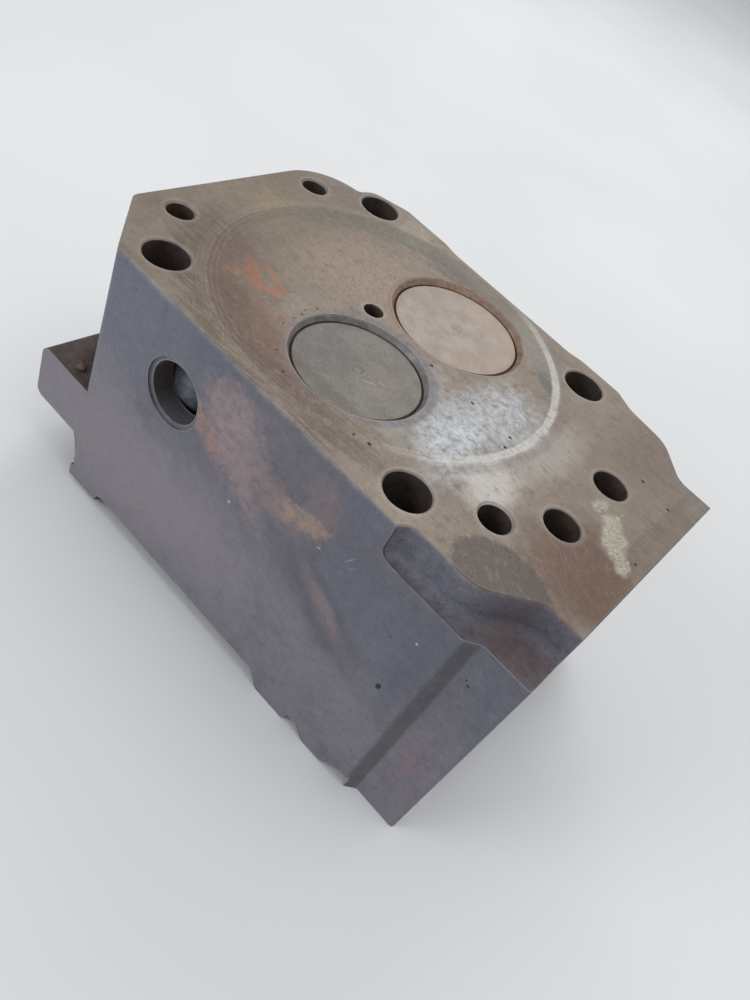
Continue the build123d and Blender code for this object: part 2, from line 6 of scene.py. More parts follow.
import math
import random

import bpy
from mathutils import Matrix, Vector


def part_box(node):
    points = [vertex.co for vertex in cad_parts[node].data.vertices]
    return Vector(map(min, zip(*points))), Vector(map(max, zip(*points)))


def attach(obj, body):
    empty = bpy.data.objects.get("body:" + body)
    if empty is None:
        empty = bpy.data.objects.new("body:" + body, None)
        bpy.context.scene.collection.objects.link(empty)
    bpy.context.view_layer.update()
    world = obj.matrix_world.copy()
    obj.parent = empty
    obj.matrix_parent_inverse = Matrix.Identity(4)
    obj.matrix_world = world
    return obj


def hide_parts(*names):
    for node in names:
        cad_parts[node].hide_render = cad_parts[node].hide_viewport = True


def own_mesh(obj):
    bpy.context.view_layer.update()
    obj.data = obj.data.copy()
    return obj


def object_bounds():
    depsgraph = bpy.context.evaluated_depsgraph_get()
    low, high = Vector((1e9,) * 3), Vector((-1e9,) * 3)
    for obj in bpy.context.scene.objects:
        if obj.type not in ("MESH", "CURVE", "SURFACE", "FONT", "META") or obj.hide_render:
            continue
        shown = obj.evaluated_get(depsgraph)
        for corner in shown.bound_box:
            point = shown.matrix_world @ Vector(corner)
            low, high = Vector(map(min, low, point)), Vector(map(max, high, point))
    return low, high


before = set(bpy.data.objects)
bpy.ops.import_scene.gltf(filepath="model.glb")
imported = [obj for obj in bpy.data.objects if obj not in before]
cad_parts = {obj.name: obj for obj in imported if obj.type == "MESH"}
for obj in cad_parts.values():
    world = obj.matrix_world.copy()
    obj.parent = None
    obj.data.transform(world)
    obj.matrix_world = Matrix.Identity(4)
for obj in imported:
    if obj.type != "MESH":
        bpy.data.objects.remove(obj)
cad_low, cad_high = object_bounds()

MM = 0.001
SIDES = ("exhaust", "intake")


# ---------------------------------------------------------------- material tools

def srgb(red, green, blue):
    """A linear colour from 0 to 255 screen values."""
    linear = []
    for value in (red, green, blue):
        share = value / 255
        linear.append(share / 12.92 if share <= 0.04045 else ((share + 0.055) / 1.055) ** 2.4)
    return (*linear, 1.0)


class Graph:
    """One procedural material. Its calls return sockets, and point is the surface point in millimetres."""

    def __init__(self, name):
        self.material = bpy.data.materials.new(name)
        self.material.use_nodes = True
        self.tree = self.material.node_tree
        self.tree.nodes.clear()
        place = self.node("ShaderNodeTexCoord")
        local = place.outputs["Object"]
        scaled = self.node("ShaderNodeVectorMath", {0: local, "Scale": 1 / MM}, operation="SCALE")
        self.point = scaled.outputs[0]
        split = self.node("ShaderNodeSeparateXYZ", {0: self.point})
        self.x, self.y, self.z = split.outputs
        facing = self.node("ShaderNodeSeparateXYZ", {0: place.outputs["Normal"]})
        self.nx, self.ny, self.nz = facing.outputs

    def node(self, kind, inputs=None, **settings):
        made = self.tree.nodes.new(kind)
        for key, value in settings.items():
            setattr(made, key, value)
        for key, value in (inputs or {}).items():
            if isinstance(value, bpy.types.NodeSocket):
                self.tree.links.new(value, made.inputs[key])
            else:
                made.inputs[key].default_value = value
        return made

    def calc(self, operation, first, second=0.0, clamp=False):
        made = self.node("ShaderNodeMath", {0: first, 1: second}, operation=operation, use_clamp=clamp)
        return made.outputs[0]

    def add(self, first, second):
        return self.calc("ADD", first, second)

    def times(self, first, second):
        return self.calc("MULTIPLY", first, second)

    def flip(self, value):
        return self.calc("SUBTRACT", 1.0, value)

    def step(self, value, start, end, low=0.0, high=1.0):
        """low before start, high after end, and smooth between them."""
        made = self.node("ShaderNodeMapRange", {0: value, 1: start, 2: end, 3: low, 4: high},
                         interpolation_type="SMOOTHSTEP")
        return made.outputs[0]

    def band(self, value, low, high, soft):
        """1 between low and high, with soft edges."""
        rise = self.step(value, low - soft, low + soft)
        return self.times(rise, self.step(value, high - soft, high + soft, 1.0, 0.0))

    def noise(self, scale, detail=3.0, rough=0.55, vector=None, warp=0.0):
        made = self.node("ShaderNodeTexNoise", {
            "Vector": vector or self.point, "Scale": scale, "Detail": detail, "Roughness": rough,
            "Distortion": warp})
        return made.outputs[0]

    def cells(self, scale, vector=None):
        made = self.node("ShaderNodeTexVoronoi", {"Vector": vector or self.point, "Scale": scale})
        return made.outputs["Distance"]

    def vector(self, x, y, z=0.0):
        return self.node("ShaderNodeCombineXYZ", {0: x, 1: y, 2: z}).outputs[0]

    def mix(self, share, first, second):
        made = self.node("ShaderNodeMix", {0: share, 6: first, 7: second}, data_type="RGBA")
        return made.outputs[2]

    def bump(self, height, distance, strength=1.0, normal=None):
        inputs = {"Height": height, "Distance": distance, "Strength": strength}
        if normal:
            inputs["Normal"] = normal
        return self.node("ShaderNodeBump", inputs).outputs[0]

    def edges(self, radius, samples=4):
        """0 on flat faces, towards 1 on edges nearer than radius."""
        round_normal = self.node("ShaderNodeBevel", {"Radius": radius}, samples=samples).outputs[0]
        true_normal = self.node("ShaderNodeNewGeometry").outputs["Normal"]
        along = self.node("ShaderNodeVectorMath", {0: round_normal, 1: true_normal}, operation="DOT_PRODUCT")
        return self.step(along.outputs["Value"], 0.995, 0.8)

    def finish(self, **inputs):
        shader = self.node("ShaderNodeBsdfPrincipled", {k.replace("_", " "): v for k, v in inputs.items()})
        out = self.node("ShaderNodeOutputMaterial")
        self.tree.links.new(shader.outputs[0], out.inputs[0])
        return self.material


def stain_group():
    """A soft, ragged ellipse: 1 inside, 0 outside. Size is its half axes, and Angle turns it in its plane."""
    group = bpy.data.node_groups.new("stain", "ShaderNodeTree")
    face = group.interface
    for name, kind in (("Point", "Vector"), ("Noise", "Float"), ("Centre", "Vector"), ("Size", "Vector"),
                       ("Angle", "Float"), ("Soft", "Float"), ("Ragged", "Float")):
        face.new_socket(name, in_out="INPUT", socket_type="NodeSocket" + kind)
    face.new_socket("Share", in_out="OUTPUT", socket_type="NodeSocketFloat")
    add, link = group.nodes.new, group.links.new
    entry, leave = add("NodeGroupInput"), add("NodeGroupOutput")

    def maths(operation, first, second=None, vector=False):
        made = add("ShaderNodeVectorMath" if vector else "ShaderNodeMath")
        made.operation = operation
        for index, value in enumerate((first, second)):
            if isinstance(value, bpy.types.NodeSocket):
                link(value, made.inputs[index])
            elif value is not None:
                made.inputs[index].default_value = value
        return made.outputs["Value"] if operation == "LENGTH" else made.outputs[0]

    away = maths("SUBTRACT", entry.outputs["Point"], entry.outputs["Centre"], True)
    turn = add("ShaderNodeVectorRotate")
    turn.rotation_type = "Z_AXIS"
    link(away, turn.inputs["Vector"])
    link(entry.outputs["Angle"], turn.inputs["Angle"])
    far = maths("LENGTH", maths("DIVIDE", turn.outputs[0], entry.outputs["Size"], True), None, True)
    jag = maths("MULTIPLY", maths("SUBTRACT", entry.outputs["Noise"], 0.5), entry.outputs["Ragged"])
    edge = maths("ADD", far, jag)
    ramp = add("ShaderNodeMapRange")
    ramp.interpolation_type = "SMOOTHSTEP"
    link(edge, ramp.inputs[0])
    link(maths("SUBTRACT", 1.0, entry.outputs["Soft"]), ramp.inputs[1])
    link(maths("ADD", 1.0, entry.outputs["Soft"]), ramp.inputs[2])
    ramp.inputs[3].default_value, ramp.inputs[4].default_value = 1.0, 0.0
    link(ramp.outputs[0], leave.inputs[0])
    return group


STAIN = stain_group()


def stain(graph, plane, jag, x, y, half_x, half_y, angle, soft, ragged):
    made = graph.node("ShaderNodeGroup", {}, node_tree=STAIN)
    graph.tree.links.new(plane, made.inputs["Point"])
    graph.tree.links.new(jag, made.inputs["Noise"])
    made.inputs["Centre"].default_value = (x, y, 0)
    made.inputs["Size"].default_value = (half_x, half_y, 1)
    made.inputs["Angle"].default_value = math.radians(-angle)
    made.inputs["Soft"].default_value = soft
    made.inputs["Ragged"].default_value = ragged
    return made.outputs[0]


# ---------------------------------------------------------------- the casting's material

RING = (-2.9, 1.9)             # centre of the gasket's imprint on the fire deck
BOLT_HOLE = (57.5, 56.75)      # one of four, the others mirrored
PUSHROD_HOLE = (94.0, 17.5)    # one of two
END_WATER_HOLE = (-77.0, 35.2)
SIDE_WATER_HOLE = (79.6, -37.8)
NOZZLE_HOLE = (-8.4, -1.2)
VALVE_X, VALVE_Y = 10.7, 29.3
HEAD_R = {"exhaust": 23.5, "intake": 25.3}
SEAT_R = {"exhaust": 25.6, "intake": 27.8}

GREY_BROWN = srgb(133, 119, 104)
WARM_GREY = srgb(146, 133, 120)
DARK_BROWN = srgb(96, 80, 69)
RUST = srgb(160, 104, 72)
RUST_BROWN = srgb(110, 84, 70)
RED_BROWN = srgb(108, 80, 67)
SILVER = srgb(176, 181, 185)
PALE = srgb(172, 162, 150)
CREAM = srgb(196, 186, 170)
OLIVE = srgb(100, 99, 89)
BLACK = srgb(24, 21, 20)

# x, y, half sizes, angle, softness, raggedness, colour, strength
DECK_STAINS = [
    (-62, -28, 15, 18, 20, 0.7, 1.1, srgb(108, 89, 75), 0.5),
    (-57, 16, 12, 24, 14, 0.7, 1.2, srgb(118, 98, 82), 0.45),
    (-84, 24, 10, 16, 0, 0.7, 1.1, srgb(104, 90, 78), 0.4),
    (-60, 30, 40, 30, 30, 0.6, 0.9, srgb(122, 107, 94), 0.55),
    (-75, 4, 16, 26, 0, 0.6, 0.9, srgb(134, 117, 95), 0.5),
    (-74, 6, 5, 8, 20, 0.7, 1.2, srgb(150, 134, 92), 0.4),
    (-22, 12, 30, 22, 20, 0.5, 0.8, srgb(148, 129, 110), 0.65),
    (-44, -40, 26, 15, -30, 0.5, 1.1, RUST_BROWN, 0.5),
    (-22, -52, 26, 9, -12, 0.45, 1.2, RUST_BROWN, 0.7),
    (4, -60, 24, 5, 3, 0.5, 1.2, srgb(108, 84, 72), 0.7),
    (24, -62, 22, 5, 8, 0.5, 1.0, srgb(110, 94, 86), 0.6),
    (36, -34, 10, 12, 45, 0.45, 1.3, srgb(158, 160, 160), 0.45),
    (46, 42, 3, 10, 50, 0.4, 0.9, srgb(92, 92, 84), 0.8),
    (32, 52, 18, 9, -30, 0.5, 1.0, srgb(146, 142, 136), 0.5),
    (-10, 55, 14, 6, 5, 0.5, 1.0, srgb(98, 87, 79), 0.7),
    (4, -14, 16, 9, 10, 0.5, 1.0, srgb(110, 107, 104), 0.6),
    (-6, -8, 9, 6, 0, 0.5, 1.0, srgb(122, 112, 104), 0.5),
    (-39, 59, 8, 9, 30, 0.35, 1.2, srgb(158, 146, 128), 0.6),
    (-62, 50, 16, 12, 20, 0.5, 0.9, srgb(112, 99, 89), 0.5),
    (70, -27, 8, 14, 20, 0.5, 1.1, srgb(204, 198, 192), 0.8),
    (73, 5, 8, 24, 0, 0.6, 1.1, srgb(182, 174, 166), 0.6),
    (62, -66, 12, 5, 0, 0.5, 1.1, srgb(160, 146, 132), 0.45),
    (92, 44, 20, 20, 20, 0.7, 1.0, srgb(126, 108, 98), 0.5),
    (110, -26, 17, 22, 20, 0.5, 1.1, RED_BROWN, 0.85),
    (98, -30, 12, 10, 0, 0.6, 1.3, srgb(116, 92, 80), 0.65),
    (101, 6, 9, 8, 0, 0.6, 1.4, srgb(150, 140, 128), 0.4),
    (120, 44, 4, 8, 0, 0.6, 1.0, srgb(166, 154, 142), 0.5),
]

# the same, broken up by fine mottling: the first four rows are a painted sheen on the silvery right part of the
# deck, the last four a pale deposit
DECK_SHEEN_AND_DEPOSIT = [
    (52, 3, 13, 19, 8, 0.6, 1.2, srgb(188, 193, 198), 0.8),
    (50, -24, 10, 19, 25, 0.6, 1.2, srgb(194, 200, 205), 0.95),
    (38, -12, 9, 9, 0, 0.55, 1.4, srgb(158, 160, 164), 0.6),
    (24, -4, 8, 5, 0, 0.6, 1.3, srgb(156, 150, 146), 0.4),
    (109, -6, 5, 8, 30, 0.3, 1.2, CREAM, 1.0),
    (104, 1, 4, 4, 0, 0.35, 1.6, CREAM, 0.9),
    (116, -12, 3, 4, 20, 0.35, 1.8, CREAM, 0.7),
    (97, 4, 2.5, 3.5, 0, 0.35, 2.0, CREAM, 0.6),
]
DECK_RUST = [
    (-40, -33, 9, 3, 150, 0.3, 2.4, RUST, 0.85),
    (-34, -27, 8, 1.8, 160, 0.35, 2.4, srgb(164, 110, 78), 0.8),
    (-44, -39, 3.6, 2.2, 30, 0.35, 2.0, srgb(178, 112, 72), 0.8),
    (-30, -33, 4.5, 2.2, 30, 0.35, 2.2, srgb(170, 112, 76), 0.7),
    (-20, -42, 7, 3, 20, 0.4, 2.4, srgb(146, 98, 74), 0.55),
    (-12, -50, 9, 3, 10, 0.4, 2.4, srgb(138, 96, 76), 0.5),
    (-55, -33, 7, 3, 60, 0.5, 2.2, srgb(134, 96, 74), 0.4),
    (-12, 44, 6, 1.6, 10, 0.4, 2.2, srgb(150, 106, 82), 0.45),
    (2, -54, 12, 2.2, 8, 0.4, 2.2, srgb(146, 104, 82), 0.4),
]

# the same for the side face towards -Y, with z in place of y
SIDE_STAINS_AND_STEP_SHADE = [
    (-60, -18, 34, 22, 0, 0.6, 0.7, srgb(110, 115, 127), 0.65),
    (-30, -80, 60, 24, 8, 0.6, 0.9, srgb(144, 134, 139), 0.7),
    (-64, -60, 24, 22, 0, 0.6, 1.0, srgb(133, 126, 132), 0.6),
    (44, -20, 60, 6, 2, 0.6, 0.8, srgb(96, 92, 100), 0.3),
    (58, -52, 24, 9, -30, 0.5, 1.0, srgb(78, 78, 90), 0.5),
    (58, -51, 17, 3.6, -32, 0.55, 1.1, srgb(132, 117, 117), 0.6),
    (94, -40, 6, 40, 0, 0.6, 0.6, srgb(88, 88, 99), 0.4),
    # painted shade: this row darkens the slanted step between x 99 and 104
    (101.6, -62, 2.6, 60, 0, 0.45, 0.5, srgb(80, 80, 96), 0.6),
    (112, -74, 6, 9, 0, 0.6, 1.3, srgb(132, 106, 114), 0.45),
    (116, -92, 7, 12, 0, 0.6, 1.2, srgb(118, 104, 114), 0.4),
    (76, -86, 22, 14, 20, 0.6, 1.0, srgb(124, 118, 124), 0.5),
    (112, -84, 1.2, 1.4, 0, 0.5, 1.0, srgb(158, 104, 106), 0.5),
]
SIDE_RUST = [
    (-3, -17, 11, 10, 8, 0.6, 1.5, srgb(160, 137, 131), 0.8),
    (6, -26, 12, 15, 8, 0.6, 1.6, srgb(158, 138, 136), 0.75),
    (-8, -32, 10, 4.5, -32, 0.55, 1.9, srgb(170, 134, 116), 0.75),
    (12, -38, 16, 5, -36, 0.6, 1.6, srgb(154, 132, 130), 0.7),
    (24, -13, 12, 7, -14, 0.6, 1.6, srgb(118, 104, 106), 0.55),
    (42, -17, 6, 11, 10, 0.55, 1.6, srgb(138, 118, 112), 0.6),
    (24, -30, 14, 7, -20, 0.6, 1.7, srgb(146, 124, 118), 0.7),
    (37, -28, 10, 4.5, 16, 0.5, 1.8, srgb(172, 142, 122), 0.8),
    (60, -50, 8, 2.5, -34, 0.6, 1.8, srgb(150, 134, 132), 0.4),
]
SIDE_MARKS = [
    (10, -48.5, 0.7, 0.45, 0, 0.4, 0.6, srgb(196, 196, 202), 0.8),
    (90, -29.5, 0.55, 0.4, 0, 0.4, 0.6, srgb(196, 196, 202), 0.8),
    (47, -31.5, 0.8, 0.35, 20, 0.4, 0.6, srgb(186, 186, 192), 0.7),
    (58, -25, 2.6, 0.22, 60, 0.5, 0.8, srgb(160, 160, 168), 0.6),
    (60, -27, 1.6, 0.2, 50, 0.5, 0.8, srgb(150, 150, 158), 0.5),
    (88.5, -57.5, 0.9, 1.5, -8, 0.2, 0.8, BLACK, 1.0),
    (109, -31, 0.6, 0.5, 0, 0.25, 0.8, BLACK, 1.0),
    (107.6, -29.5, 0.4, 0.4, 0, 0.25, 0.6, BLACK, 0.9),
    (82, -36, 0.7, 0.4, 0, 0.3, 0.8, srgb(60, 56, 62), 0.8),
]

DECK_PITS = [(38, -54), (22, -2), (42, -2), (60, -2), (62, -8), (100, 33), (113, 30)]


def painted(graph, colour, plane, jag, rows, share=None):
    """The colour with each row's stain over it. share weakens them all."""
    for x, y, half_x, half_y, angle, soft, ragged, tint, strength in rows:
        cover = graph.times(stain(graph, plane, jag, x, y, half_x, half_y, angle, soft, ragged), strength)
        colour = graph.mix(graph.times(cover, share) if share else cover, colour, tint)
    return colour


def streaks(graph, first, second, degrees, along, across, detail=3.0):
    """Noise drawn out along a direction in the plane of two coordinates."""
    cosine, sine = math.cos(math.radians(degrees)), math.sin(math.radians(degrees))
    u = graph.add(graph.times(first, cosine * along), graph.times(second, sine * along))
    v = graph.add(graph.times(first, -sine * across), graph.times(second, cosine * across))
    return graph.noise(1.0, detail, 0.6, graph.vector(u, v))


def casting_material():
    g = Graph("cast_iron")
    jag = g.noise(0.16, 5, 0.62)
    rag = g.noise(0.36, 7, 0.7)
    broad = g.noise(0.03, 4, 0.55)
    patches = g.noise(0.09, 5, 0.62)
    mottle = g.noise(0.27, 7, 0.68, warp=0.4)
    grain = g.noise(1.1, 5, 0.68)
    speck = g.noise(2.6, 2, 0.5)
    broken = g.step(rag, 0.36, 0.6, 0.35, 1.0)

    # the fire deck
    flat = g.vector(g.x, g.y)
    rubbed = streaks(g, g.x, g.y, 4, 0.05, 0.75)
    wiped = streaks(g, g.x, g.y, -38, 0.06, 0.9)
    deck = g.mix(g.step(broad, 0.35, 0.65), GREY_BROWN, WARM_GREY)
    deck = g.mix(g.times(g.step(patches, 0.47, 0.68), 0.45), deck, srgb(112, 97, 85))
    deck = painted(g, deck, flat, jag, DECK_STAINS)
    # painted sheen and a pale deposit
    deck = painted(g, deck, flat, jag, DECK_SHEEN_AND_DEPOSIT, broken)
    deck = painted(g, deck, flat, rag, DECK_RUST, g.step(rubbed, 0.35, 0.6, 0.3, 1.0))

    away = g.node("ShaderNodeVectorMath", {0: flat, 1: (*RING, 0)}, operation="SUBTRACT").outputs[0]
    reach = g.node("ShaderNodeVectorMath", {0: away}, operation="LENGTH").outputs["Value"]
    wobble = g.add(reach, g.times(g.calc("SUBTRACT", jag, 0.5), 1.6))
    unit = g.node("ShaderNodeVectorMath", {0: away}, operation="NORMALIZE").outputs[0]

    def facing(outward, degrees):
        """How far the way out from a centre points to an angle, from -1 to 1."""
        way = (math.cos(math.radians(degrees)), math.sin(math.radians(degrees)), 0)
        return g.node("ShaderNodeVectorMath", {0: outward, 1: way}, operation="DOT_PRODUCT").outputs["Value"]

    def towards(degrees):
        return facing(unit, degrees)

    right = g.step(towards(14), 0.3, 0.95)
    left = g.step(towards(170), 0.1, 0.8)
    low_left = g.step(towards(228), 0.45, 0.9)
    edge_strip = g.times(g.band(reach, 56.0, 80.0, 4.0), g.step(towards(250), 0.35, 0.85))
    deck = g.mix(g.times(edge_strip, g.step(rubbed, 0.42, 0.62, 0.15, 0.7)), deck, DARK_BROWN)
    deck = g.mix(g.times(edge_strip, g.step(wiped, 0.6, 0.7, 0.0, 0.35)), deck, srgb(158, 136, 120))
    ring = g.times(g.band(wobble, 66.6, 69.6, 0.7), g.step(patches, 0.25, 0.6, 0.55, 1.0))
    deck = g.mix(g.times(ring, g.times(right, 0.8)), deck, srgb(206, 203, 198))
    deck = g.mix(g.times(ring, g.times(g.flip(right), 0.14)), deck, PALE)
    # painted shadow: a dark band inside the gasket ring along its upper and left side
    ring_shadow = g.times(g.band(wobble, 54.5, 65.0, 1.8), g.step(towards(118), 0.3, 0.9))
    deck = g.mix(g.times(ring_shadow, g.step(mottle, 0.3, 0.6, 0.85, 0.5)), deck, OLIVE)
    ring_rim_shadow = g.times(g.band(wobble, 60.5, 65.6, 1.2), g.times(left, 0.3))
    deck = g.mix(ring_rim_shadow, deck, srgb(104, 94, 84))
    for radius in (63.4, 65.2, 67.2, 70.4):
        line = g.band(wobble, radius - 0.2, radius + 0.2, 0.25)
        deck = g.mix(g.times(line, g.add(g.times(low_left, 0.18), 0.03)), deck, srgb(164, 147, 130))
        line = g.band(wobble, radius + 0.5, radius + 0.8, 0.25)
        deck = g.mix(g.times(line, g.add(g.times(low_left, 0.35), 0.14)), deck, srgb(94, 81, 71))
    halo = g.times(g.band(reach, 70.6, 74.0, 1.2), g.times(right, 0.4))
    deck = g.mix(halo, deck, srgb(122, 113, 105))

    for centre, seat_r, wide, ring_colour, from_angle, weak, strong in (
            ((VALVE_X, -VALVE_Y), SEAT_R["exhaust"], 4.2, srgb(112, 113, 118), 40, 0.15, 0.75),
            ((VALVE_X, VALVE_Y), SEAT_R["intake"], 1.8, srgb(138, 100, 78), 170, 0.25, 0.7)):
        apart = g.node("ShaderNodeVectorMath", {0: flat, 1: (*centre, 0)}, operation="SUBTRACT").outputs[0]
        far = g.node("ShaderNodeVectorMath", {0: apart}, operation="LENGTH").outputs["Value"]
        outward = g.node("ShaderNodeVectorMath", {0: apart}, operation="NORMALIZE").outputs[0]
        share = g.step(facing(outward, from_angle), -0.3, 0.6, weak, strong)
        around = g.times(g.step(far, seat_r + wide, seat_r + 0.4 * wide), share)
        deck = g.mix(around, deck, ring_colour)

    # a separate lobe of dirt by the corner pocket, and along the pushrod end a darker strip that is painted
    # shade of a shallow step
    step_shade_strip = g.times(g.step(g.x, 112.8, 113.8), g.step(g.y, -14, 0))
    deck = g.mix(g.times(step_shade_strip, 0.4), deck, srgb(110, 101, 94))
    lobe = stain(g, flat, jag, 97, -57, 19, 14, -6, 0.06, 0.4)
    deck = g.mix(g.times(lobe, 0.8), deck, srgb(90, 81, 75))

    # mottling, dirt and rubbing over everything on the deck, with a painted sheen that grows towards +X
    deck = g.mix(g.step(mottle, 0.52, 0.68, 0.0, 0.42), deck, srgb(98, 84, 73))
    deck = g.mix(g.step(mottle, 0.46, 0.32, 0.0, 0.26), deck, srgb(164, 150, 136))
    deck = g.mix(g.step(rubbed, 0.52, 0.66, 0.0, 0.24), deck, srgb(104, 90, 80))
    # painted sheen: the lighter wipe streaks and hairline scratches grow stronger towards +X
    painted_sheen_ramp = g.step(g.x, -10, 50, 0.25, 1.0)
    deck = g.mix(g.times(g.step(wiped, 0.56, 0.68, 0.0, 0.1), painted_sheen_ramp), deck, srgb(180, 171, 160))
    for angle, place in ((24, 0.512), (-52, 0.47), (76, 0.53), (-8, 0.5)):
        hair = streaks(g, g.x, g.y, angle, 0.03, 0.5, 1.0)
        hair = g.times(g.band(hair, place, place + 0.004, 0.003), g.step(patches, 0.5, 0.6))
        deck = g.mix(g.times(hair, g.times(painted_sheen_ramp, 0.2)), deck, srgb(182, 174, 164))
    for x, y in DECK_PITS:
        deck = g.mix(stain(g, flat, rag, x, y, 0.8, 0.6, 0, 0.25, 0.8), deck, BLACK)
    deck = g.mix(g.step(speck, 0.62, 0.72, 0.0, 0.22), deck, srgb(190, 181, 170))
    dirt = g.step(grain, 0.56, 0.75, 0.0, 0.42)
    deck = g.mix(dirt, deck, srgb(84, 72, 63))

    # cast and painted-over sides, chamber and passages
    upright = g.vector(g.x, g.z)
    side = g.mix(g.step(broad, 0.32, 0.68), srgb(99, 102, 113), srgb(108, 105, 114))
    lower = g.step(g.z, -34, -84)
    side = g.mix(g.times(lower, 0.65), side, srgb(134, 127, 133))
    side = g.mix(g.step(patches, 0.46, 0.7, 0.0, 0.45), side, srgb(88, 88, 99))
    front = g.step(g.ny, -0.55, -0.9)
    stained = painted(g, side, upright, jag, SIDE_STAINS_AND_STEP_SHADE)
    stained = painted(g, stained, upright, rag, SIDE_RUST, g.step(mottle, 0.35, 0.6, 1.0, 0.65))
    stained = painted(g, stained, upright, rag, SIDE_MARKS)
    cutter_marks = g.noise(1.0, 2, 0.5, g.vector(g.times(g.x, 0.25), g.times(g.z, 2.2)))
    milled = g.times(g.step(g.x, 104.5, 106.0), g.step(cutter_marks, 0.5, 0.62, 0.0, 0.3))
    stained = g.mix(milled, stained, srgb(84, 82, 94))
    pale_spots = g.times(g.step(mottle, 0.52, 0.64), g.step(g.x, 70, -10))
    stained = g.mix(g.times(pale_spots, g.times(lower, 0.5)), stained, srgb(158, 146, 149))
    elsewhere = g.mix(g.step(jag, 0.5, 0.66, 0.0, 0.45), side, srgb(126, 104, 95))
    side = g.mix(front, elsewhere, stained)
    side = g.mix(g.step(mottle, 0.5, 0.66, 0.0, 0.3), side, srgb(80, 79, 91))
    side = g.mix(g.step(mottle, 0.46, 0.32, 0.0, 0.25), side, srgb(136, 132, 140))
    side = g.mix(g.step(grain, 0.54, 0.74, 0.0, 0.36), side, srgb(72, 70, 79))
    side = g.mix(g.step(speck, 0.63, 0.74, 0.0, 0.18), side, srgb(150, 150, 158))
    # a light worn line along the top edge of the front face, which also paints that edge's highlight
    worn_edge_highlight = g.times(g.step(g.z, -2.6, -0.8), g.step(jag, 0.4, 0.6, 0.1, 0.5))
    side = g.mix(g.times(worn_edge_highlight, front), side, srgb(150, 148, 153))

    top = g.times(g.step(g.z, -1.1, -0.6), g.step(g.nz, 0.3, 0.6))
    level = g.step(g.nz, 0.6, 0.9)
    ledge = g.times(level, g.step(g.z, -10, -14))
    ledge_dirt = g.mix(g.step(mottle, 0.35, 0.65), srgb(98, 90, 90), srgb(76, 66, 64))
    side = g.mix(g.times(ledge, 0.75), side, ledge_dirt)
    rail = g.times(g.times(level, g.step(g.z, -60, -64)), g.step(g.x, -64, -68))
    side = g.mix(rail, side, g.mix(g.step(mottle, 0.35, 0.65), srgb(88, 74, 68), srgb(66, 55, 50)))
    pocket = g.times(g.times(g.step(g.x, 30, 40), g.step(g.z, -16, -13.5)),
                     g.times(g.step(g.y, -69.9, -69.3), g.step(g.y, -46, -48)))
    pocket_dirt = g.mix(g.step(rag, 0.3, 0.7), srgb(122, 122, 132), srgb(78, 77, 86))
    side = g.mix(g.times(pocket, 0.4), side, pocket_dirt)
    side = g.mix(g.times(pocket, g.step(grain, 0.52, 0.7, 0.0, 0.5)), side, srgb(52, 50, 54))
    corner = stain(g, g.vector(g.x, g.y), rag, 112, -60, 12, 10, 0, 0.6, 1.6)
    side = g.mix(g.times(g.times(corner, 0.45), pocket), side, srgb(98, 70, 64))
    inner = g.times(g.step(g.ny, -0.9, -0.6), g.step(g.ny, 0.9, 0.6))
    hidden = g.times(inner, g.times(g.step(g.x, 122.4, 121.9), g.step(g.x, -88.8, -88.2)))
    hole = g.times(hidden, g.times(g.step(g.z, -0.9, -1.6), g.flip(level)))
    hollow = g.mix(g.step(jag, 0.4, 0.6), srgb(58, 49, 42), srgb(80, 62, 50))
    side = g.mix(g.times(g.times(hole, g.flip(pocket)), 0.8), side, hollow)
    bulge = g.times(g.step(g.y, -62, -61), g.times(g.step(g.y, -46, -47), g.step(g.x, -38, -28)))
    side = g.mix(g.times(bulge, g.times(g.step(g.z, -14, -15), g.step(g.x, -18, -19))), side, g.mix(
        g.step(jag, 0.35, 0.65), srgb(134, 137, 150), srgb(92, 92, 102)))
    mirror_x, mirror_y = g.calc("ABSOLUTE", g.x), g.calc("ABSOLUTE", g.y)
    for across, along, centre, mouth_r in (
            (mirror_x, mirror_y, BOLT_HOLE, 9.0), (g.x, mirror_y, PUSHROD_HOLE, 7.6),
            (g.x, mirror_y, END_WATER_HOLE, 6.2), (g.x, g.y, SIDE_WATER_HOLE, 7.0),
            (g.x, g.y, NOZZLE_HOLE, 4.2)):
        place = g.vector(across, along)
        gap = g.node("ShaderNodeVectorMath", {0: place, 1: (*centre, 0)}, operation="DISTANCE").outputs["Value"]
        bored = g.times(g.step(gap, mouth_r, mouth_r - 0.1), g.step(g.z, -0.3, -0.9))
        side = g.mix(g.times(bored, 0.92), side, hollow)
        deck = g.mix(g.step(gap, mouth_r + 1.4, mouth_r + 0.2, 0.0, 0.2), deck, srgb(176, 168, 160))
    colour = g.mix(top, side, deck)
    wear = g.times(g.edges(0.0008), g.step(jag, 0.36, 0.6, 0.25, 0.8))
    colour = g.mix(wear, colour, srgb(172, 164, 155))

    rough_deck = g.add(g.step(grain, 0.3, 0.7, 0.36, 0.5), g.times(g.add(dirt, g.flip(broken)), 0.18))
    rough_side = g.step(grain, 0.3, 0.7, 0.5, 0.68)
    rough = g.node("ShaderNodeMix", {0: top, 2: rough_side, 3: rough_deck}).outputs[0]
    metal = g.add(g.times(top, 0.32), g.times(wear, 0.3))

    height = g.add(g.times(grain, 0.6), g.times(speck, 0.25))
    height = g.add(height, g.times(g.times(g.add(rubbed, wiped), top), 0.25))
    height = g.add(height, g.times(mottle, 0.5))
    cast = g.times(g.flip(top), g.times(g.noise(0.45, 4, 0.6), 1.4))
    normal = g.bump(g.add(height, cast), 0.00024, 0.8)
    return g.finish(Base_Color=colour, Roughness=rough, Metallic=metal, Normal=normal)


# ---------------------------------------------------------------- the other materials

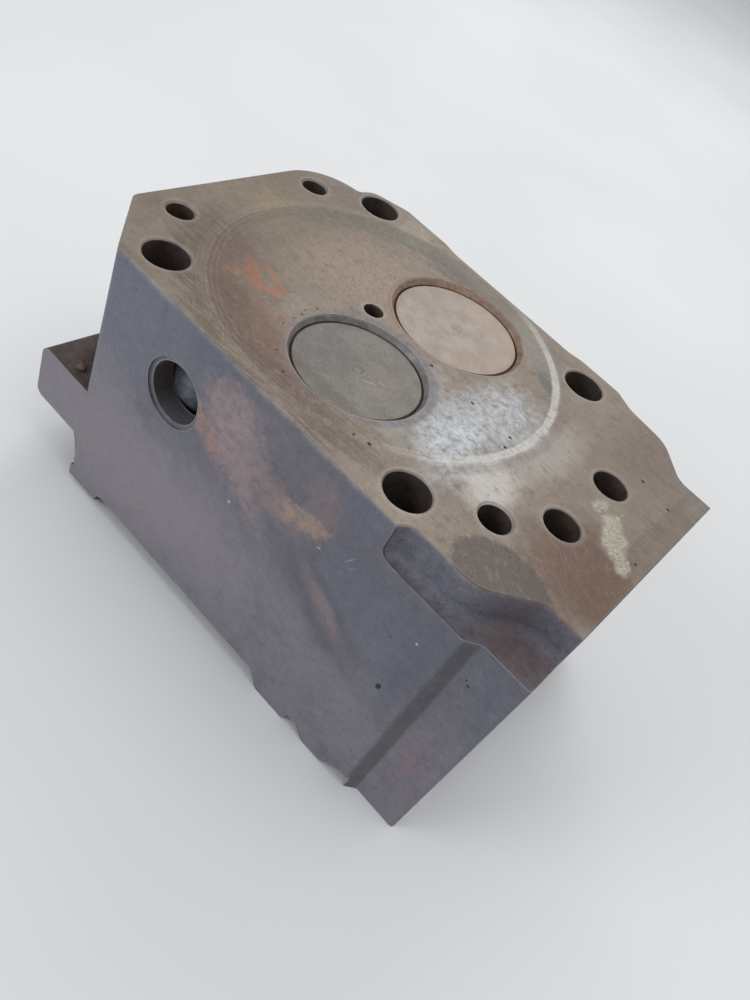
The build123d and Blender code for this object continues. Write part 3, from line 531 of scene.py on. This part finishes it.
def metal_material(name, base, dark, bright, rough, metallic=0.75, grain_scale=1.6, dirt=0.5, spin=None,
                   rust=0.0, edge=0.0006):
    """A worn machined metal. spin is the X and Y, in millimetres, about which turning marks run."""
    g = Graph(name)
    patches = g.noise(0.22, 5, 0.6)
    grain = g.noise(grain_scale, 4, 0.6)
    colour = g.mix(g.step(patches, 0.35, 0.65), base, dark)
    colour = g.mix(g.times(g.step(grain, 0.5, 0.75), dirt), colour, dark)
    height = g.times(grain, 0.5)
    if spin:
        away = g.node("ShaderNodeVectorMath", {0: g.vector(g.x, g.y), 1: (*spin, 0)}, operation="SUBTRACT")
        reach = g.node("ShaderNodeVectorMath", {0: away.outputs[0]}, operation="LENGTH").outputs["Value"]
        rings = g.noise(1.0, 3, 0.6, g.vector(g.times(reach, 2.2), g.times(g.z, 2.2)))
        height = g.add(height, g.times(rings, 0.8))
        colour = g.mix(g.times(g.step(rings, 0.45, 0.7), 0.25), colour, bright)
    if rust:
        spots = g.times(g.step(g.noise(0.35, 5, 0.65), 0.55, 0.7), rust)
        colour = g.mix(spots, colour, RUST_BROWN)
    wear = g.times(g.edges(edge), 0.7)
    colour = g.mix(wear, colour, bright)
    gloss = g.step(grain, 0.3, 0.7, rough - 0.08, rough + 0.1)
    normal = g.bump(height, 0.00008, 0.6)
    return g.finish(Base_Color=colour, Roughness=gloss, Metallic=metallic, Normal=normal)


def valve_material(side, base, dark, tint, rim_colour):
    """Valve faces with a soot and scale layer, turned stems and collet ends in clean steel."""
    g = Graph(side + "_valve_steel")
    centre, rim_r = axis_mm[side], HEAD_R[side]
    flat = g.vector(g.x, g.y)
    patches = g.noise(0.14, 5, 0.6)
    grain = g.noise(1.3, 4, 0.62)
    jag = g.noise(0.2, 5, 0.6)
    away = g.node("ShaderNodeVectorMath", {0: flat, 1: (*centre, 0)}, operation="SUBTRACT").outputs[0]
    reach = g.node("ShaderNodeVectorMath", {0: away}, operation="LENGTH").outputs["Value"]
    face = g.mix(g.step(patches, 0.35, 0.65), base, dark)
    rings = g.noise(1.0, 3, 0.6, g.vector(g.times(reach, 1.4), 0.0))
    face = g.mix(g.times(g.step(rings, 0.45, 0.7), 0.08), face, srgb(176, 168, 158))
    face = g.mix(g.step(reach, 3.4, 1.6, 0.0, 0.35), face, srgb(166, 156, 144))
    face = g.mix(g.step(reach, 1.3, 0.7, 0.0, 0.3), face, srgb(92, 84, 78))
    outer = g.step(reach, rim_r - 2.6, rim_r - 0.4)
    face = g.mix(g.times(outer, g.step(jag, 0.35, 0.6, 0.2, 0.5)), face, rim_colour)
    if side == "intake":
        rusty = [(centre[0] + 16, centre[1] - 10, 10, 14, 30, 0.6, 1.2, tint, 0.35),
                 (centre[0] + 2, centre[1] + 19, 20, 6, 0, 0.6, 1.2, tint, 0.5),
                 (centre[0] + 18, centre[1] + 9, 6, 12, 30, 0.6, 1.2, tint, 0.45),
                 (centre[0] - 15, centre[1] + 4, 8, 12, 0, 0.6, 1.0, srgb(140, 132, 124), 0.4)]
    else:
        rusty = [(centre[0] - 8, centre[1] - 2, 14, 9, 20, 0.6, 1.0, srgb(104, 103, 98), 0.5),
                 (centre[0] + 9, centre[1] + 3, 9, 8, 10, 0.6, 1.0, tint, 0.4),
                 (centre[0] + 6.5, centre[1] - 1, 2.2, 0.2, 40, 0.5, 0.8, srgb(176, 172, 166), 0.5),
                 (centre[0] + 9, centre[1] + 3, 1.7, 0.18, 10, 0.5, 0.8, srgb(176, 172, 166), 0.45),
                 (centre[0] - 2, centre[1] - 18, 13, 3, 4, 0.6, 1.2, srgb(90, 84, 78), 0.5)]
    face = painted(g, face, flat, jag, rusty)
    face = g.mix(g.times(g.step(grain, 0.56, 0.74), 0.3), face, dark)
    stem = g.mix(g.step(g.noise(0.5, 3, 0.6, g.vector(0.0, 0.0, g.z)), 0.4, 0.6), srgb(150, 148, 146),
                 srgb(120, 112, 106))
    burnt = g.mix(g.step(g.z, -28, -20), stem, srgb(96, 84, 76))
    top = g.times(g.step(g.nz, 0.7, 0.9), g.step(g.z, -6, -3))
    colour = g.mix(top, burnt, face)
    wear = g.times(g.edges(0.0007), g.step(jag, 0.4, 0.6, 0.2, 0.6))
    colour = g.mix(wear, colour, srgb(168, 162, 154))
    rough = g.add(g.step(grain, 0.3, 0.7, 0.36, 0.5), g.times(top, 0.06))
    metal = g.step(g.z, -30, -12, 0.8, 0.4)
    height = g.add(g.times(grain, 0.6), g.times(rings, 0.3))
    normal = g.bump(height, 0.00012, 0.6)
    return g.finish(Base_Color=colour, Roughness=rough, Metallic=metal, Normal=normal)


def rubber_material():
    g = Graph("seal_rubber")
    patches = g.noise(0.5, 4, 0.6)
    grain = g.noise(3.0, 3, 0.6)
    colour = g.mix(g.step(patches, 0.35, 0.65), srgb(34, 32, 31), srgb(52, 48, 44))
    colour = g.mix(g.times(g.step(grain, 0.5, 0.7), 0.3), colour, srgb(70, 62, 54))
    rough = g.step(grain, 0.3, 0.7, 0.55, 0.75)
    return g.finish(Base_Color=colour, Roughness=rough, Normal=g.bump(grain, 0.00005, 0.6))


def centre_of(node):
    low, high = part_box(node)
    return (low + high) / 2


def set_material(name, material):
    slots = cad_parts[name].data.materials
    slots.clear()
    slots.append(material)


valve_axis = {side: centre_of(side + "_valve") for side in SIDES}
axis_mm = {side: (valve_axis[side].x / MM, valve_axis[side].y / MM) for side in SIDES}

set_material("head_casting", casting_material())
set_material("exhaust_valve", valve_material(
    "exhaust", srgb(122, 116, 109), srgb(108, 102, 96), srgb(132, 122, 112), srgb(112, 102, 92)))
set_material("intake_valve", valve_material(
    "intake", srgb(162, 151, 142), srgb(146, 135, 126), srgb(168, 148, 132), srgb(158, 124, 100)))

seat_base = {"exhaust": srgb(134, 130, 128), "intake": srgb(158, 130, 110)}
seat_dark = {"exhaust": srgb(112, 104, 100), "intake": srgb(126, 98, 80)}
guide_iron = metal_material("guide_iron", srgb(104, 98, 92), srgb(70, 64, 58), srgb(160, 154, 146), 0.45, 0.7)
spring_steel = metal_material(
    "spring_steel", srgb(72, 72, 76), srgb(46, 46, 50), srgb(150, 150, 154), 0.34, 0.8, 2.2, 0.4, edge=0.0004)
collet_steel = metal_material(
    "collet_steel", srgb(150, 146, 138), srgb(104, 98, 90), srgb(196, 192, 186), 0.34, 0.85)
plug_steel = metal_material(
    "plug_steel", srgb(150, 142, 120), srgb(112, 100, 82), srgb(200, 192, 170), 0.38, 0.8, 1.2, 0.45, rust=0.4)
copper = metal_material(
    "sleeve_copper", srgb(168, 108, 74), srgb(112, 74, 56), srgb(212, 150, 112), 0.34, 0.9, 1.4, 0.5)
rubber = rubber_material()

for side in SIDES:
    set_material(side + "_seat_insert", metal_material(
        side + "_seat_steel", seat_base[side], seat_dark[side], srgb(156, 150, 144), 0.5, 0.35, 1.8, 0.5,
        axis_mm[side], 0.5))
    set_material(side + "_spring_retainer", metal_material(
        side + "_retainer_steel", srgb(92, 90, 88), srgb(60, 58, 56), srgb(176, 172, 166), 0.36, 0.8,
        1.8, 0.4, axis_mm[side]))
    set_material(side + "_spring_seat", metal_material(
        side + "_seat_washer_steel", srgb(96, 92, 88), srgb(62, 58, 54), srgb(160, 154, 148), 0.42, 0.75,
        1.8, 0.4, axis_mm[side]))
    set_material(side + "_valve_guide", guide_iron)
    set_material(side + "_collets", collet_steel)
    set_material(side + "_stem_seal", rubber)
set_material("injector_sleeve", copper)
set_material("sleeve_seal_ring", rubber)
for name in ("back_core_plug", "end_core_plug", "floor_core_plugs"):
    set_material(name, plug_steel)


# ---------------------------------------------------------------- pieces

def add_mesh(name, vertices, faces, material, body="head", slot=None):
    mesh = bpy.data.meshes.new(name)
    mesh.from_pydata(vertices, [], faces)
    mesh.validate()
    mesh.update()
    mesh.polygons.foreach_set("use_smooth", [True] * len(mesh.polygons))
    made = bpy.data.objects.new(name, mesh)
    bpy.context.scene.collection.objects.link(made)
    made.data.materials.append(material)
    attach(made, body)
    return made


def tube(line, radius, ring, closed=False, low=None, high=None):
    """Vertices and faces of a round wire along line, cut flat at the heights low and high."""
    count = len(line)
    vertices, faces = [], []
    for index, point in enumerate(line):
        before = line[index - 1] if index or closed else point
        after = line[(index + 1) % count] if index + 1 < count or closed else point
        along = (after - before).normalized()
        across = along.cross(Vector((0, 0, 1)))
        across = across.normalized() if across.length > 1e-6 else Vector((1, 0, 0))
        upward = across.cross(along)
        for k in range(ring):
            turn = 2 * math.pi * k / ring
            place = point + radius * (math.cos(turn) * across + math.sin(turn) * upward)
            if low is not None:
                place.z = min(max(place.z, low), high)
            vertices.append(place)
    for index in range(count if closed else count - 1):
        here, there = index * ring, (index + 1) % count * ring
        for k in range(ring):
            after = (k + 1) % ring
            faces.append((here + k, here + after, there + after, there + k))
    if not closed:
        faces.append(tuple(range(ring)))
        faces.append(tuple(reversed(range((count - 1) * ring, count * ring))))
    return vertices, faces


def coil_spring(node, wire, turns, hand):
    """A closed and ground compression spring in the place of its CAD node."""
    low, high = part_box(node)
    centre, mean = (low + high) / 2, (high.x - low.x) / 2 - wire
    steps = 40
    closed_turns = 1.0
    ground = 0.35 * wire       # height of the wire's centre above a ground end
    pitch = 2.06 * wire        # of the closed turns
    free = high.z - low.z - 2 * ground - 2 * closed_turns * pitch
    line = []
    for index in range(int(turns * steps) + 1):
        turn = index / steps
        from_low, from_high = min(turn, closed_turns), max(turn - (turns - closed_turns), 0)
        middle = (turn - from_low - from_high) / (turns - 2 * closed_turns)
        z = low.z + ground + (from_low + from_high) * pitch + middle * free
        angle = hand * 2 * math.pi * turn
        line.append(Vector((centre.x + mean * math.cos(angle), centre.y + mean * math.sin(angle), z)))
    made = add_mesh("closed_" + node, *tube(line, wire, 14, low=low.z, high=high.z), spring_steel,
                    slot="spring_steel")
    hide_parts(node)
    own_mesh(made)


def garter_spring(node):
    """The fine endless coil round a stem seal's lip."""
    low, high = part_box(node)
    centre = (low + high) / 2
    thick = (high.z - low.z) / 2
    mean, wire, coils, steps = (high.x - low.x) / 2 - thick, 0.00024, 72, 12
    line = []
    for index in range(coils * steps):
        round_turn, coil_turn = 2 * math.pi * index / (coils * steps), 2 * math.pi * index / steps
        reach = mean + (thick - wire) * math.cos(coil_turn)
        line.append(Vector((centre.x + reach * math.cos(round_turn), centre.y + reach * math.sin(round_turn),
                            centre.z + (thick - wire) * math.sin(coil_turn))))
    made = add_mesh("coiled_" + node, *tube(line, wire, 6, closed=True), spring_steel, slot="spring_steel")
    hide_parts(node)


def crust(name, rows, material, draw):
    """Thin irregular flakes: each row is a centre X, Y and Z, a radius and a height, in millimetres."""
    vertices, faces = [], []
    for x, y, z, radius, height in rows:
        first, corners = len(vertices), draw.randint(8, 12)
        for level, share in ((0.0, 1.0), (0.75, 0.8)):
            for k in range(corners):
                turn = 2 * math.pi * k / corners
                reach = radius * share * draw.uniform(0.6, 1.2)
                vertices.append(Vector((x + reach * math.cos(turn), y + reach * math.sin(turn),
                                        z + height * level - 0.02)) * MM)
        vertices.append(Vector((x, y, z + height)) * MM)
        for k in range(corners):
            after = (k + 1) % corners
            faces.append((first + k, first + after, first + corners + after, first + corners + k))
            faces.append((first + corners + k, first + corners + after, first + 2 * corners))
        faces.append(tuple(first + k for k in reversed(range(corners))))
    return add_mesh(name, vertices, faces, material, slot="head_iron")


OUTER_WIRE, OUTER_TURNS = 2.1 * MM, 5.6
INNER_WIRE, INNER_TURNS = 1.35 * MM, 7.4
RAIL_TOP = -65.5 * MM
for side in SIDES:
    coil_spring(side + "_outer_spring", OUTER_WIRE, OUTER_TURNS, 1)
    coil_spring(side + "_inner_spring", INNER_WIRE, INNER_TURNS, -1)
    garter_spring(side + "_garter_spring")

# flakes of a pale deposit near the pushrod end, crumbs of rust on the deck and a cast nub on the rail
FLAKE_SPOTS = ((109, -6, 4.6, 24), (104, 1, 3.0, 9), (116, -12, 2.4, 6), (97, 4, 2.2, 6))
CRUMB_SPOTS = ((-17.5, -27), (-17.5, -31), (-17, -36), (-15.5, -39.5), (-18.5, -24), (-6.5, -52), (1, -56.5),
               (34, -56), (118, -7), (117, -9), (88, -44), (92, -46), (96, -47), (100, -49))
NUB = ((-77, -65, 2.4, 1.6), (-79.5, -63.5, 1.4, 0.9))

draw = random.Random(4)
deposit = metal_material(
    "deposit", srgb(172, 161, 145), srgb(134, 121, 104), srgb(198, 189, 172), 0.7, 0.0)
crumb = metal_material("crumb", srgb(128, 100, 82), srgb(84, 66, 56), srgb(170, 150, 134), 0.7, 0.1)
flakes = []
for x, y, spread, count in FLAKE_SPOTS:
    for _ in range(count):
        flakes.append((x + draw.gauss(0, spread * 0.45), y + draw.gauss(0, spread * 0.7), 0.0,
                       draw.uniform(0.4, 1.7), draw.uniform(0.06, 0.18)))
crust("deposit_flakes", flakes, deposit, draw)
crumbs = [(x + draw.gauss(0, 0.8), y + draw.gauss(0, 0.8), 0.0, draw.uniform(0.3, 0.7), draw.uniform(0.2, 0.5))
          for x, y in CRUMB_SPOTS]
crust("deck_crumbs", crumbs, crumb, draw)
crust("rail_nub", [(x, y, RAIL_TOP / MM, radius, height) for x, y, radius, height in NUB], crumb, draw)

# ---------------------------------------------------------------- camera, floor and light

CAMERA_PLACE = Vector((0.11837, -0.24012, 0.16820))
CAMERA_RIGHT = Vector((0.6837, 0.6256, 0.3759))
CAMERA_BACK = Vector((0.2571, -0.6885, 0.6782))
CAMERA_LENS = 31.14
SENSOR_WIDTH = 36

back = CAMERA_BACK.normalized()
right = (CAMERA_RIGHT - CAMERA_RIGHT.dot(back) * back).normalized()
upward = back.cross(right)
lens = bpy.data.cameras.new("camera")
lens.lens, lens.sensor_width, lens.clip_start, lens.clip_end = CAMERA_LENS, SENSOR_WIDTH, 0.01, 50
camera = bpy.data.objects.new("camera", lens)
camera.matrix_world = Matrix.Translation(CAMERA_PLACE) @ Matrix((right, upward, back)).transposed().to_4x4()
bpy.context.scene.collection.objects.link(camera)
bpy.context.scene.camera = camera


def floor_material():
    g = Graph("floor_paint")
    colour = g.mix(g.step(g.noise(0.004, 2, 0.5), 0.3, 0.7), srgb(238, 238, 237), srgb(243, 243, 242))
    return g.finish(Base_Color=colour, Roughness=0.9)


def floor():
    half = 8.0
    z = cad_low.z
    mesh = bpy.data.meshes.new("floor")
    corners = [(-half, -half, z), (half, -half, z), (half, half, z), (-half, half, z)]
    mesh.from_pydata(corners, [], [(0, 1, 2, 3)])
    made = bpy.data.objects.new("floor", mesh)
    made.data.materials.append(floor_material())
    bpy.context.scene.collection.objects.link(made)


def soft_light(name, place, aim, size, power, colour):
    data = bpy.data.lights.new(name, "AREA")
    data.shape, data.size, data.energy, data.color = "DISK", size, power, colour
    made = bpy.data.objects.new(name, data)
    made.location = place
    made.rotation_euler = (Vector(aim) - Vector(place)).to_track_quat("-Z", "Y").to_euler()
    bpy.context.scene.collection.objects.link(made)


floor()
middle = (cad_low + cad_high) / 2
soft_light("window", (-0.45, 1.05, 0.95), middle, 0.9, 4.6, (1.0, 0.98, 0.95))
soft_light("ceiling", (0.35, 0.1, 1.5), middle, 1.3, 5.6, (1.0, 0.985, 0.96))
soft_light("fill", (-0.9, -1.2, 0.7), middle, 0.9, 7.5, (0.88, 0.92, 1.0))

world = bpy.data.worlds.new("room")
world.use_nodes = True
world.node_tree.nodes["Background"].inputs[0].default_value = (0.86, 0.90, 0.95, 1)
world.node_tree.nodes["Background"].inputs[1].default_value = 0.55
bpy.context.scene.world = world
bpy.context.scene.view_settings.view_transform = "Standard"
